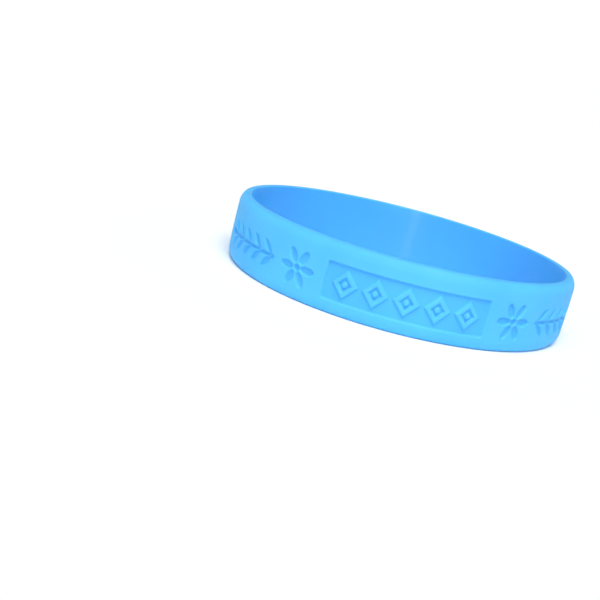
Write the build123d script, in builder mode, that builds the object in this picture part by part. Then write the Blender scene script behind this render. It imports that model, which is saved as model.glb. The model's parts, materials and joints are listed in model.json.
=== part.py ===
from build123d import *
import math
import os

# Silicone wristband: one closed moulded loop with marks sunk into the front of its outer face.
# Millimetres. +Z is up, the origin is on the floor under the middle of the loop, and the front faces -Y.

# The loop
loop_length = 202.0  # once around the outer face
band_width = 12.0
wall = 2.0
face_crown = 0.1  # how far the outer face stands out at mid width
shoulder_height = 2.0  # how far the oval shoulders reach down the outer face from each rim
shoulder_depth = 1.2  # how far they reach in across the rim
inner_edge_radius = 0.2  # edges between the inner face and the rims
rim_land = 0.4  # least flat ring that stays on a rim, which the band rests on

# The row of sunk marks
mark_depth = 0.4
marks_drop = 0.5  # the row runs this far below mid width
cut_reach = 1.5  # how far the cutters reach past the outer face, both ways

# Sunk panel in the middle of the row, with raised lozenges in it
panel_length = 28.0
panel_height = 6.3
panel_corner_radius = 0.4
lozenge_count = 5
lozenge_pitch = 5.2
lozenge_length = 4.4
lozenge_height = 4.8
lozenge_stroke = 0.8
lozenge_dot_diameter = 1.0

# Sunk rosette beside each end of the panel
rosette_gap = 2.2  # from the panel's end to the rosette
petal_count = 6
petal_length = 2.6
petal_width = 1.25
petal_offset = 2.15  # from the rosette's middle to a petal's middle
rosette_dot_diameter = 1.1

# Sunk leaf sprig beyond each rosette
sprig_gap = 2.0  # from the rosette to the stem
stem_length = 17.0
stem_width = 0.6
leaf_pairs = 5
leaf_pitch = 3.3
leaf_length = 3.6
leaf_width = 1.0
leaf_slant = 42.0  # degrees between a leaf and the stem

# Places that follow from those sizes
outer_radius = loop_length / (2 * math.pi)
inner_radius = outer_radius - wall
mid_height = band_width / 2
marks_height = mid_height - marks_drop
shoulder_across = min(shoulder_depth, wall - inner_edge_radius - rim_land)
rosette_radius = petal_offset + petal_length / 2
rosette_place = panel_length / 2 + rosette_gap + rosette_radius
stem_start = rosette_place + rosette_radius + sprig_gap
sides = (-1, 1)  # left and right, or below and above
up = Vector(0, 0, 1)


def turn(arc_length):
    """Degrees around the loop for a length along its outer face."""
    return math.degrees(arc_length / outer_radius)


def outward(arc_length):
    """Unit vector that points out of the face, at a length to the right of the front's middle."""
    angle = math.radians(turn(arc_length) - 90)
    return Vector(math.cos(angle), math.sin(angle), 0)


def face_plane(arc_length):
    """Plane that touches the outer face on the row of marks, with its Z out of the face and its Y up."""
    normal = outward(arc_length)
    touch = normal * outer_radius + up * marks_height
    return Plane(origin=touch, x_dir=up.cross(normal), z_dir=normal)


def section_plane(arc_length):
    """Upright plane through the loop's axis, with its X out of the face and its Y up."""
    out = outward(arc_length)
    return Plane(origin=(0, 0, 0), x_dir=out, z_dir=out.cross(up))


def face_curve(inset, margin):
    """The crowned line of the outer face, moved in by the inset, up to a margin from each rim."""
    face = outer_radius - inset
    edge = face - face_crown * (1 - margin / mid_height) ** 2
    return ThreePointArc((edge, margin), (face, mid_height), (edge, band_width - margin))


def shoulder_curve(face_end, height, start_angle):
    """Quarter ellipse between the outer face and a rim, round a middle at the face's end height."""
    middle = (face_end.X - shoulder_across, height)
    return EllipticalCenterArc(middle, shoulder_across, shoulder_height, start_angle, arc_size=90)


def ring_stretch(start, end, height):
    """Part of a square ring that straddles the outer face along the row of marks."""
    with BuildPart() as stretch:
        with BuildSketch(section_plane(start)):
            with Locations((outer_radius, marks_height)):
                Rectangle(2 * cut_reach, height)
        revolve(axis=Axis.Z, revolution_arc=turn(end - start))
    return stretch.part


def loop_body():
    """The plain loop: a crowned face, oval shoulders, flat rims and a straight inner face."""
    with BuildPart() as loop:
        with BuildSketch(Plane.XZ):
            with BuildLine():
                face = face_curve(0, shoulder_height)
                lower = shoulder_curve(face @ 0, shoulder_height, 270)
                upper = shoulder_curve(face @ 1, band_width - shoulder_height, 0)
                Polyline(upper @ 1, (inner_radius, band_width), (inner_radius, 0), lower @ 0)
            profile = make_face()
            inner_corners = profile.vertices().group_by(Axis.X)[0]
            fillet(inner_corners, inner_edge_radius)
        revolve(axis=Axis.Z)
    return loop.part


def lozenge_motif():
    """Raised lozenge outline with a dot in its middle."""
    half_length = lozenge_length / 2
    half_height = lozenge_height / 2
    corners = [(half_length, 0), (0, half_height), (-half_length, 0), (0, -half_height)]
    with BuildSketch() as motif:
        with BuildLine():
            Polyline(*corners, close=True)
        make_face()
        offset(amount=-lozenge_stroke, kind=Kind.INTERSECTION, mode=Mode.SUBTRACT)
        Circle(lozenge_dot_diameter / 2)
    return motif.sketch


def leaf_motif():
    """Pointed leaf with its base at the origin and its tip along +X."""
    with BuildSketch() as motif:
        with BuildLine():
            for bulge in sides:
                ThreePointArc((0, 0), (leaf_length / 2, bulge * leaf_width / 2), (leaf_length, 0))
        make_face()
    return motif.sketch


def panel_cutter():
    """The sunk panel, less the lozenges that stay raised in it."""
    lozenge = lozenge_motif()
    block = ring_stretch(-panel_length / 2, panel_length / 2, panel_height)
    with BuildPart() as cutter:
        add(block)
        end_corners = cutter.edges().filter_by(GeomType.LINE).filter_by(Axis.Z, reverse=True)
        fillet(end_corners, panel_corner_radius)
        for number in range(lozenge_count):
            place = (number - (lozenge_count - 1) / 2) * lozenge_pitch
            with BuildSketch(face_plane(place)):
                add(lozenge)
            extrude(amount=2 * cut_reach, both=True, mode=Mode.SUBTRACT)
    return cutter.part


def rosette_cutter(place):
    """A ring of petals around a dot."""
    with BuildPart() as cutter:
        with BuildSketch(face_plane(place)):
            with PolarLocations(petal_offset, petal_count):
                Ellipse(petal_length / 2, petal_width / 2)
            Circle(rosette_dot_diameter / 2)
        extrude(amount=cut_reach, both=True)
    return cutter.part


def sprig_cutter(side):
    """A stem with pairs of leaves and one leaf at its end, growing away from the panel."""
    leaf = leaf_motif()
    stem_end = stem_start + stem_length
    first, last = sorted((side * stem_start, side * stem_end))
    stem = ring_stretch(first, last, stem_width)
    away = 0 if side > 0 else 180
    with BuildPart() as cutter:
        add(stem)
        for number in range(leaf_pairs):
            place = side * (stem_end - leaf_pitch * (number + 1))
            with BuildSketch(face_plane(place)):
                for way in sides:
                    add(leaf, rotation=away + way * leaf_slant)
            extrude(amount=cut_reach, both=True)
        with BuildSketch(face_plane(side * (stem_end - leaf_length / 2))):
            add(leaf, rotation=away)
        extrude(amount=cut_reach, both=True)
    return cutter.part


def sunk_marks():
    """All the cutters, ended on a floor that follows the outer face at the marks' depth."""
    cutters = [panel_cutter()]
    cutters += [rosette_cutter(side * rosette_place) for side in sides]
    cutters += [sprig_cutter(side) for side in sides]
    with BuildPart() as marks:
        add(cutters)
        with BuildSketch(Plane.XZ):
            with BuildLine():
                floor = face_curve(mark_depth, 0)
                outside = outer_radius + cut_reach
                Polyline(floor @ 1, (outside, band_width), (outside, 0), floor @ 0)
            make_face()
        revolve(axis=Axis.Z, mode=Mode.INTERSECT)
    return marks.part


plain_loop = loop_body()
marks = sunk_marks()

with BuildPart() as band:
    add(plain_loop)
    add(marks, mode=Mode.SUBTRACT)
band.part.label = "band"

os.makedirs("parts", exist_ok=True)
export_step(band.part, "parts/band.step")
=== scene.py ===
import json
import math

import bpy
import numpy as np
from mathutils import Matrix, Vector


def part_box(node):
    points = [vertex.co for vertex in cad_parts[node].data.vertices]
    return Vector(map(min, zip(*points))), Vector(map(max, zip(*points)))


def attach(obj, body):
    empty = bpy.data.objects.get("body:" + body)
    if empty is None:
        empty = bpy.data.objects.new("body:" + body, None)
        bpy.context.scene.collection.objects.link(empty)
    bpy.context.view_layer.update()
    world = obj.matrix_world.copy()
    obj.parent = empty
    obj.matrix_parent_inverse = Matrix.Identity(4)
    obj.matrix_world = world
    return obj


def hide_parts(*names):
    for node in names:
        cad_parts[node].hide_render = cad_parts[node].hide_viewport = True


# A light blue silicone wristband that lies on a white studio floor, seen from the front and a little above.
# The band's own sizes are in millimetres, and are turned into metres when its mesh and materials are made.

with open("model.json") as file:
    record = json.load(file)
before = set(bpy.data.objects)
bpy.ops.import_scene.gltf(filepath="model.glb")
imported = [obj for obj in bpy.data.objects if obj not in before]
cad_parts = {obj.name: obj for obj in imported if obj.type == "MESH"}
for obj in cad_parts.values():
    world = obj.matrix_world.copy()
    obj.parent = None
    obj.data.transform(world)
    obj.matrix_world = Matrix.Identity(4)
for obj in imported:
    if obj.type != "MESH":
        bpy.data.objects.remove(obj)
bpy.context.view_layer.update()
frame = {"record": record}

MM = 0.001

# Sizes of the plain loop, from the frame
LOW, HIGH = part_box("band")
BORE = next(mount for mount in frame["record"]["mounts"] if mount["name"] == "wrist_bore")
WIDTH = (HIGH.z - LOW.z) / MM
OUTER = (HIGH.y - LOW.y) / 2 / MM
INNER = BORE["dims"]["r_mm"]
INNER_EDGE = (WIDTH - BORE["dims"]["length_mm"]) / 2
AROUND = 2 * math.pi * OUTER

# Oval shoulders between the outer face and the rims, and the slight crown of that face
SHOULDER_HEIGHT = 2.0
SHOULDER_DEPTH = 1.2
CROWN = 0.1

# The row of sunk marks, in the places that the part's source gives them
MARK_DEPTH = 0.4
MARK_SOFTNESS = 0.32  # how wide the soft wall of a mark is, seen from the front
MARKS_DROP = 0.5  # the row runs this far below mid width
MARKS_HEIGHT = WIDTH / 2 - MARKS_DROP

# Sunk panel in the middle of the row, with raised lozenges in it
PANEL_LENGTH = 28.0
PANEL_HEIGHT = 6.3
PANEL_CORNER = 0.4
LOZENGE_COUNT = 5
LOZENGE_PITCH = 5.2
LOZENGE_LENGTH = 4.4
LOZENGE_HEIGHT = 4.8
LOZENGE_STROKE = 0.8
LOZENGE_DOT = 1.0

# Sunk rosette beside each end of the panel
ROSETTE_GAP = 2.2
PETAL_COUNT = 6
PETAL_LENGTH = 2.6
PETAL_WIDTH = 1.25
PETAL_OFFSET = 2.15
ROSETTE_DOT = 1.1
ROSETTE_RADIUS = PETAL_OFFSET + PETAL_LENGTH / 2
ROSETTE_PLACE = PANEL_LENGTH / 2 + ROSETTE_GAP + ROSETTE_RADIUS

# Sunk leaf sprig beyond each rosette
SPRIG_GAP = 2.0
STEM_LENGTH = 17.0
STEM_WIDTH = 0.6
LEAF_PAIRS = 5
LEAF_PITCH = 3.3
LEAF_LENGTH = 3.6
LEAF_WIDTH = 1.0
LEAF_SLANT = math.radians(42)
STEM_START = ROSETTE_PLACE + ROSETTE_RADIUS + SPRIG_GAP
STEM_END = STEM_START + STEM_LENGTH

# How finely the mesh is divided
FINE_STEP = 0.12  # where there are marks
PLAIN_STEP = 1.2  # round the loop where there are none
FACE_STEP = 0.4  # up the outer face above the marks
MARKS_MARGIN = 0.6  # plain silicone that the fine zone takes in
SHOULDER_PIECES = 10
EDGE_PIECES = 4
WALL_PIECES = 8

# Least slope that the distance to an ellipse is divided by, because the slope is nought at its middle
LEAST_SLOPE = 1e-6

# Finish of each silicone surface, and its painted shade: deeper and lighter blue, least and most roughness,
# specular level, how far the gloss is drawn out along the band's width, and how high its fine grain is
FINISHES_AND_PAINTED_SHADE = {
    "outer": ((0.080, 0.465, 0.93, 1), (0.089, 0.497, 0.95, 1), 0.58, 0.70, 0.35, 0.0, 0.006),
    # Painted shade: the inner wall's blues are darker than the outer face's, standing in for the shade
    # inside the loop
    "inner": ((0.055, 0.380, 0.93, 1), (0.060, 0.406, 0.95, 1), 0.285, 0.32, 0.50, 0.93, 0.0015),
}

# What both surfaces share
REFRACTION = 1.41
GLOSS_TURN = 0.25  # share of a full turn that lays the drawn-out gloss along the band's width
SUNK_PAINTED_SHADE = (0.85, 0.925, 0.99, 1)  # painted shade: how much darker the blue is painted on the floor of a mark
SWELL_HEIGHT = 0.02

# Light that the silicone scatters under its surface: its share, and how far in red, green and blue go
SCATTERED_SHARE = 0.25
SCATTER_DEPTH = 0.8
SCATTER_COLOURS = (0.5, 0.8, 1.0)  # as shares of that depth

# Noise textures: size of their patches, and levels of finer detail
NOISES = {
    "tint": (9, 2),
    "gloss": (2.5, 3),
    "swell": (4, 2),
    "grain": (0.25, 2),
    "floor": (1000 / 60, 2),  # sixty patches in a metre
}
NOISE_RANGE = (0.3, 0.7)  # where nearly all values of a noise texture lie

# Soft far lights: name, degrees to the right of the front, degrees up, degrees across, share of full white
LIGHTS = [
    ("main_light", 5, 60, 40, 0.86),
    ("left_light", -25, 60, 40, 0.18),
    ("camera_light", -8, 11, 2, 0.08),
]

# White surroundings, which fade out between two elevations given as sines
HORIZON_LIGHT = 1.02
FADE = (0.28, 0.45)

# Matt white floor, and how far it reaches each way in metres
FLOOR_WHITE = 0.97
FLOOR_ROUGHNESS = (0.85, 0.95)
FLOOR_REACH = 6.0

# Camera, at the photograph's place and tilt, and the range that it sees in metres
CAMERA_PLACE = Vector((-16.495, -186.445, 40.642)) * MM
CAMERA_DOWN = math.radians(14.138)
CAMERA_ROLL = math.radians(14.268)
CAMERA_LENS = 59.815
CAMERA_SENSOR = 36.0
CAMERA_NEAR = 0.01
CAMERA_FAR = 20.0


def box_distance(x, y, half_length, half_height, corner=0.0):
    """Signed distance to a rectangle with round corners, less than zero inside."""
    past_x = np.abs(x) - half_length + corner
    past_y = np.abs(y) - half_height + corner
    outside = np.hypot(np.maximum(past_x, 0), np.maximum(past_y, 0))
    return outside + np.minimum(np.maximum(past_x, past_y), 0) - corner


def lozenge_distance(x, y, half_length, half_height):
    """Signed distance to the nearest side of a lozenge."""
    across = np.abs(x) * half_height + np.abs(y) * half_length - half_length * half_height
    return across / math.hypot(half_length, half_height)


def ellipse_distance(x, y, half_length, half_width):
    """Nearly the signed distance to an ellipse."""
    share = np.hypot(x / half_length, y / half_width)
    slope = np.hypot(x / half_length**2, y / half_width**2)
    return share * (share - 1) / np.maximum(slope, LEAST_SLOPE)


def leaf_distance(x, y, length, width):
    """Signed distance to a pointed leaf that runs from the origin along x, between two arcs."""
    radius = (length**2 + width**2) / (4 * width)
    drop = radius - width / 2
    upper = np.hypot(x - length / 2, y + drop)
    lower = np.hypot(x - length / 2, y - drop)
    return np.maximum(upper, lower) - radius


def turned(x, y, angle):
    """The same points in axes turned by the angle."""
    return x * math.cos(angle) + y * math.sin(angle), y * math.cos(angle) - x * math.sin(angle)


def panel_distance(x, y):
    """The sunk panel, less the lozenge outlines and dots that stay raised in it."""
    distance = box_distance(x, y, PANEL_LENGTH / 2, PANEL_HEIGHT / 2, PANEL_CORNER)
    for number in range(LOZENGE_COUNT):
        along = x - (number - (LOZENGE_COUNT - 1) / 2) * LOZENGE_PITCH
        edge = lozenge_distance(along, y, LOZENGE_LENGTH / 2, LOZENGE_HEIGHT / 2)
        outline = np.maximum(edge, -edge - LOZENGE_STROKE)
        dot = np.hypot(along, y) - LOZENGE_DOT / 2
        distance = np.maximum(distance, -np.minimum(outline, dot))
    return distance


def rosette_distance(x, y):
    """A ring of petals round a dot."""
    distance = np.hypot(x, y) - ROSETTE_DOT / 2
    for number in range(PETAL_COUNT):
        along, across = turned(x, y, 2 * math.pi * number / PETAL_COUNT)
        petal = ellipse_distance(along - PETAL_OFFSET, across, PETAL_LENGTH / 2, PETAL_WIDTH / 2)
        distance = np.minimum(distance, petal)
    return distance


def sprig_distance(x, y):
    """A stem with pairs of leaves and one leaf at its end, growing along x."""
    middle = (STEM_START + STEM_END) / 2
    distance = box_distance(x - middle, y, STEM_LENGTH / 2, STEM_WIDTH / 2)
    leaves = [(STEM_END - LEAF_LENGTH / 2, 0.0)]
    for number in range(LEAF_PAIRS):
        place = STEM_END - LEAF_PITCH * (number + 1)
        leaves += [(place, LEAF_SLANT), (place, -LEAF_SLANT)]
    for place, slant in leaves:
        along, across = turned(x - place, y, slant)
        distance = np.minimum(distance, leaf_distance(along, across, LEAF_LENGTH, LEAF_WIDTH))
    return distance


def sunk_depth(s, z):
    """How far the outer face is sunk, for lengths along the face and heights."""
    side = np.abs(s)
    y = z - MARKS_HEIGHT
    distance = panel_distance(s, y)
    distance = np.minimum(distance, rosette_distance(side - ROSETTE_PLACE, y))
    distance = np.minimum(distance, sprig_distance(side, y))
    share = np.clip(0.5 - distance / MARK_SOFTNESS, 0, 1)
    return MARK_DEPTH * share * share * (3 - 2 * share)


def steps(start, end, size):
    """Evenly spaced values from start up to end, which is left out, at most the size apart."""
    count = max(1, math.ceil((end - start) / size))
    return list(np.linspace(start, end, count, endpoint=False))


def columns_around():
    """Lengths along the outer face where the mesh has columns, fine where the marks are."""
    marks_end = STEM_END + LEAF_LENGTH / 2 + MARKS_MARGIN
    fine = steps(-marks_end, marks_end, FINE_STEP)
    plain = steps(marks_end, AROUND - marks_end, PLAIN_STEP)
    return np.array(fine + plain)


def face_heights():
    """Heights of the rows between the two shoulders, fine from the lower one to just above the marks."""
    marks_top = MARKS_HEIGHT + PANEL_HEIGHT / 2 + MARKS_MARGIN
    heights = steps(SHOULDER_HEIGHT, marks_top, FINE_STEP)
    heights += steps(marks_top, WIDTH - SHOULDER_HEIGHT, FACE_STEP)
    return np.array(heights[1:])


def quarter_oval(radius, height, size, first_angle, pieces):
    """Points on a quarter ellipse round a place in the section. Its size is how far it goes in and up."""
    across, tall = size
    angles = np.radians(np.linspace(first_angle, first_angle + 90, pieces + 1))
    return np.column_stack([radius + across * np.cos(angles), height + tall * np.sin(angles)])


def section_points():
    """Radius and height once round the section, from the foot of the outer face upwards."""
    shoulder = (SHOULDER_DEPTH, SHOULDER_HEIGHT)
    shoulder_radius = OUTER - SHOULDER_DEPTH
    shoulder_top = WIDTH - SHOULDER_HEIGHT
    edge = (INNER_EDGE, INNER_EDGE)
    edge_radius = INNER + INNER_EDGE
    edge_top = WIDTH - INNER_EDGE
    heights = face_heights()
    wall_heights = np.linspace(edge_top, INNER_EDGE, WALL_PIECES + 1)[1:-1]
    points = np.vstack([
        np.column_stack([np.full(len(heights), OUTER), heights]),
        quarter_oval(shoulder_radius, shoulder_top, shoulder, 0, SHOULDER_PIECES),
        quarter_oval(edge_radius, edge_top, edge, 90, EDGE_PIECES),
        np.column_stack([np.full(len(wall_heights), INNER), wall_heights]),
        quarter_oval(edge_radius, INNER_EDGE, edge, 180, EDGE_PIECES),
        quarter_oval(shoulder_radius, SHOULDER_HEIGHT, shoulder, 270, SHOULDER_PIECES),
    ])
    from_middle = np.abs(points[:, 1] / (WIDTH / 2) - 1)
    face_share = 1 - SHOULDER_HEIGHT / (WIDTH / 2)
    crown = CROWN * np.minimum(from_middle, face_share) ** 2
    points[:, 0] -= np.where(points[:, 0] >= shoulder_radius, crown, 0)
    return points


def loop_faces(column_count, row_count):
    """Corners of the faces of a grid that closes on itself both ways."""
    column, row = np.meshgrid(np.arange(column_count), np.arange(row_count), indexing="ij")
    next_column = (column + 1) % column_count
    next_row = (row + 1) % row_count
    corners = [(column, row), (next_column, row), (next_column, next_row), (column, next_row)]
    return np.stack([c * row_count + r for c, r in corners], axis=-1).reshape(-1, 4)


def band_mesh():
    """One closed skin round the loop, with the marks sunk into its outer face."""
    section = section_points()
    s, radius = np.meshgrid(columns_around(), section[:, 0], indexing="ij")
    height = np.broadcast_to(section[:, 1], s.shape)
    depth = np.where(radius > OUTER - SHOULDER_DEPTH, sunk_depth(s, height), 0)
    radius = radius - depth
    angle = s / OUTER
    points = np.stack([radius * np.sin(angle), -radius * np.cos(angle), height], axis=-1)

    mesh = bpy.data.meshes.new("band_skin")
    mesh.from_pydata((points.reshape(-1, 3) * MM).tolist(), [], loop_faces(*s.shape).tolist())
    mesh.shade_smooth()
    # How deep each point is sunk, as a share of the mark's depth; the materials paint shade on the floor of
    # a mark by it
    sunk = mesh.attributes.new("sunk", "FLOAT", "POINT")
    sunk.data.foreach_set("value", (depth / MARK_DEPTH).ravel())

    mesh.materials.append(silicone("outer"))
    mesh.materials.append(silicone("inner"))
    on_wall = np.isclose(section[:, 0], INNER)
    on_wall &= np.roll(on_wall, -1)
    mesh.polygons.foreach_set("material_index", np.tile(on_wall, len(s)).astype(np.int32))
    return mesh


def link(name, data):
    """A new object in the scene."""
    thing = bpy.data.objects.new(name, data)
    bpy.context.scene.collection.objects.link(thing)
    return thing


def new_material(name):
    """A new material, with its nodes and its shader."""
    material = bpy.data.materials.new(name)
    material.use_nodes = True
    return material, material.node_tree, material.node_tree.nodes["Principled BSDF"]


def add_noise(tree, name):
    """A noise texture of the table, fixed to the object."""
    patch, detail = NOISES[name]
    place = tree.nodes.new("ShaderNodeTexCoord")
    texture = tree.nodes.new("ShaderNodeTexNoise")
    texture.inputs["Scale"].default_value = 1 / (patch * MM)
    texture.inputs["Detail"].default_value = detail
    tree.links.new(place.outputs["Object"], texture.inputs["Vector"])
    return texture.outputs["Fac"]


def add_range(tree, value, old, new):
    """The value taken from its old range to a new one, which it doesn't leave."""
    part = tree.nodes.new("ShaderNodeMapRange")
    part.inputs["From Min"].default_value = old[0]
    part.inputs["From Max"].default_value = old[1]
    part.inputs["To Min"].default_value = new[0]
    part.inputs["To Max"].default_value = new[1]
    tree.links.new(value, part.inputs["Value"])
    return part.outputs["Result"]


def add_bump(tree, name, height):
    """A bump of that height in the pattern of a noise texture."""
    bump = tree.nodes.new("ShaderNodeBump")
    bump.inputs["Strength"].default_value = 1.0
    bump.inputs["Distance"].default_value = height * MM
    tree.links.new(add_noise(tree, name), bump.inputs["Height"])
    return bump


def add_blue_with_painted_shade(tree, deep, light):
    """Blue that varies slightly from place to place, with painted shade that darkens it where a mark is
    sunk.
    """
    tint = tree.nodes.new("ShaderNodeMix")
    tint.data_type = "RGBA"
    tint.inputs["A"].default_value = deep
    tint.inputs["B"].default_value = light
    tree.links.new(add_range(tree, add_noise(tree, "tint"), NOISE_RANGE, (0, 1)), tint.inputs["Factor"])
    # Painted shade: the blue is multiplied darker in step with how deep a mark is sunk
    sunk = tree.nodes.new("ShaderNodeAttribute")
    sunk.attribute_name = "sunk"
    shade = tree.nodes.new("ShaderNodeMix")
    shade.data_type = "RGBA"
    shade.blend_type = "MULTIPLY"
    shade.inputs["B"].default_value = SUNK_PAINTED_SHADE
    tree.links.new(tint.outputs["Result"], shade.inputs["A"])
    tree.links.new(sunk.outputs["Fac"], shade.inputs["Factor"])
    return shade.outputs["Result"]


def silicone(side):
    """Light blue silicone: satin, a little translucent, with the fine grain of its mould."""
    deep, light, smooth, rough, specular, drawn, grain_height = FINISHES_AND_PAINTED_SHADE[side]
    material, tree, shader = new_material(side + "_silicone")
    shader.inputs["IOR"].default_value = REFRACTION
    shader.inputs["Specular IOR Level"].default_value = specular
    shader.inputs["Anisotropic"].default_value = drawn
    shader.inputs["Anisotropic Rotation"].default_value = GLOSS_TURN
    shader.inputs["Subsurface Weight"].default_value = SCATTERED_SHARE
    shader.inputs["Subsurface Radius"].default_value = SCATTER_COLOURS
    shader.inputs["Subsurface Scale"].default_value = SCATTER_DEPTH * MM

    around = tree.nodes.new("ShaderNodeTangent")
    around.direction_type = "RADIAL"
    around.axis = "Z"
    tree.links.new(around.outputs["Tangent"], shader.inputs["Tangent"])
    tree.links.new(add_blue_with_painted_shade(tree, deep, light), shader.inputs["Base Color"])
    gloss = add_range(tree, add_noise(tree, "gloss"), NOISE_RANGE, (smooth, rough))
    tree.links.new(gloss, shader.inputs["Roughness"])

    swell = add_bump(tree, "swell", SWELL_HEIGHT)
    grain = add_bump(tree, "grain", grain_height)
    tree.links.new(swell.outputs["Normal"], grain.inputs["Normal"])
    tree.links.new(grain.outputs["Normal"], shader.inputs["Normal"])
    return material


def studio_white():
    """Matt white studio sheet with hardly any texture."""
    material, tree, shader = new_material("studio_white")
    shader.inputs["Base Color"].default_value = (FLOOR_WHITE, FLOOR_WHITE, FLOOR_WHITE, 1)
    shader.inputs["Specular IOR Level"].default_value = 0.0
    rough = add_range(tree, add_noise(tree, "floor"), (0, 1), FLOOR_ROUGHNESS)
    tree.links.new(rough, shader.inputs["Roughness"])
    return material


def make_band():
    """The wristband, which stands for the solid of the frame."""
    band = link("wristband", band_mesh())
    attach(band, "root")
    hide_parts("band")


def make_floor():
    """A wide white floor under the lower rim."""
    mesh = bpy.data.meshes.new("floor_sheet")
    corners = [(x * FLOOR_REACH, y * FLOOR_REACH, 0) for x, y in ((-1, -1), (1, -1), (1, 1), (-1, 1))]
    mesh.from_pydata(corners, [], [(0, 1, 2, 3)])
    mesh.materials.append(studio_white())
    floor = link("floor", mesh)
    floor.location.z = LOW.z


def make_camera():
    """The camera at the photograph's place, tilt and field of view."""
    data = bpy.data.cameras.new("camera")
    data.sensor_width = CAMERA_SENSOR
    data.lens = CAMERA_LENS
    data.clip_start = CAMERA_NEAR
    data.clip_end = CAMERA_FAR
    camera = link("camera", data)
    tilt = Matrix.Rotation(math.pi / 2 - CAMERA_DOWN, 4, "X") @ Matrix.Rotation(CAMERA_ROLL, 4, "Z")
    camera.matrix_world = Matrix.Translation(CAMERA_PLACE) @ tilt
    bpy.context.scene.camera = camera


def make_light(name, right, up, across, share):
    """A soft far light. Its share is of the light that a white sheet facing it gives back."""
    data = bpy.data.lights.new(name, "SUN")
    data.angle = math.radians(across)
    data.energy = share * math.pi
    light = link(name, data)
    azimuth = math.radians(right)
    elevation = math.radians(up)
    level = math.cos(elevation)
    away = Vector((level * math.sin(azimuth), -level * math.cos(azimuth), math.sin(elevation)))
    light.rotation_euler = away.to_track_quat("Z", "Y").to_euler()


def make_world():
    """White surroundings near the horizon, and none higher up."""
    world = bpy.data.worlds.new("studio_surroundings")
    world.use_nodes = True
    tree = world.node_tree
    place = tree.nodes.new("ShaderNodeTexCoord")
    split = tree.nodes.new("ShaderNodeSeparateXYZ")
    tree.links.new(place.outputs["Generated"], split.inputs["Vector"])
    fade = add_range(tree, split.outputs["Z"], FADE, (HORIZON_LIGHT, 0.0))
    background = tree.nodes["Background"]
    background.inputs["Color"].default_value = (1, 1, 1, 1)
    tree.links.new(fade, background.inputs["Strength"])
    bpy.context.scene.world = world


make_camera()
make_band()
make_floor()
make_world()
for row in LIGHTS:
    make_light(*row)
bpy.context.scene.view_settings.view_transform = "Standard"
